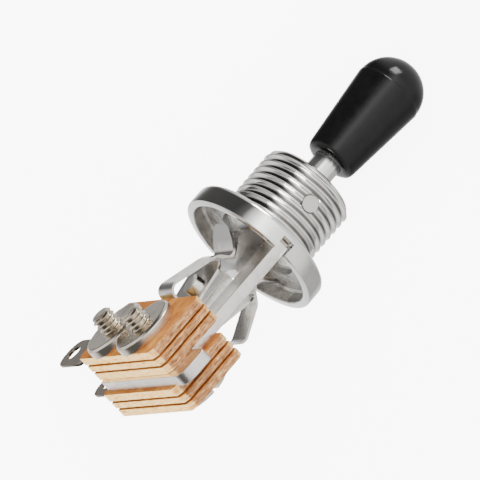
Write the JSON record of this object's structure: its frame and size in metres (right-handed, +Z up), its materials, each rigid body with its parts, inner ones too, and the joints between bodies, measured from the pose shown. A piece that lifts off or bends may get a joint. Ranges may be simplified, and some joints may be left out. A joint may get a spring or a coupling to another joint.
{
  "type": "three-way toggle selector switch",
  "caption": "Panel-mounted toggle selector switch: a capped lever on a cross pin in a threaded bushing works spring leaves clamped between fibre plates.",
  "frame": {"origin": "bushing axis in the flange's upper face, where the panel seats", "axes": "+Z up the bushing and the lever at rest, +X along the pivot pin away from the terminals, the lever swings towards +Y and -Y"},
  "size_m": [0.0332, 0.0182, 0.0523],
  "materials": {
    "plated_brass": "bright nickel plate over turned brass, fine turning lines",
    "pin_steel": "ground steel, cut ends",
    "lever_steel": "turned and milled steel, dull plate",
    "tip_plastic": "polished black moulding",
    "frame_steel": "stamped plate, sheared edges, dull plate",
    "fibre": "pressed fibre board, sheared edges",
    "leaf_nickel": "spring sheet, dull nickel plate",
    "contact_silver": "silver contact",
    "screw_steel": "nickel plate, warm grey",
    "sleeve_fibre": "rolled insulating tube"
  },
  "bodies": {
    "switch": {"bushing": "plated_brass", "pivot_pin": "pin_steel", "frame": "frame_steel", "nut_side_inner_plate": "fibre", "nut_side_middle_plate": "fibre", "nut_side_outer_plate": "fibre", "nut_side_long_leaf": "leaf_nickel", "nut_side_short_leaf": "leaf_nickel", "nut_side_contact": "contact_silver", "head_side_inner_plate": "fibre", "head_side_middle_plate": "fibre", "head_side_outer_plate": "fibre", "head_side_long_leaf": "leaf_nickel", "head_side_short_leaf": "leaf_nickel", "head_side_contact": "contact_silver", "near_screw": "screw_steel", "near_nut": "screw_steel", "near_sleeve": "sleeve_fibre", "far_screw": "screw_steel", "far_nut": "screw_steel", "far_sleeve": "sleeve_fibre"},
    "toggle": {"lever": "lever_steel", "lever_tip": "tip_plastic"}
  },
  "joints": [
    {"name": "lever_pivot", "type": "hinge", "parent": "switch", "child": "toggle", "pos_m": [0, 0, 0.0051], "axis": [1, 0, 0], "range_deg": [-13, 13], "deforming": ["nut_side_long_leaf", "nut_side_short_leaf", "head_side_long_leaf", "head_side_short_leaf", "nut_side_contact", "head_side_contact"]}
  ]
}
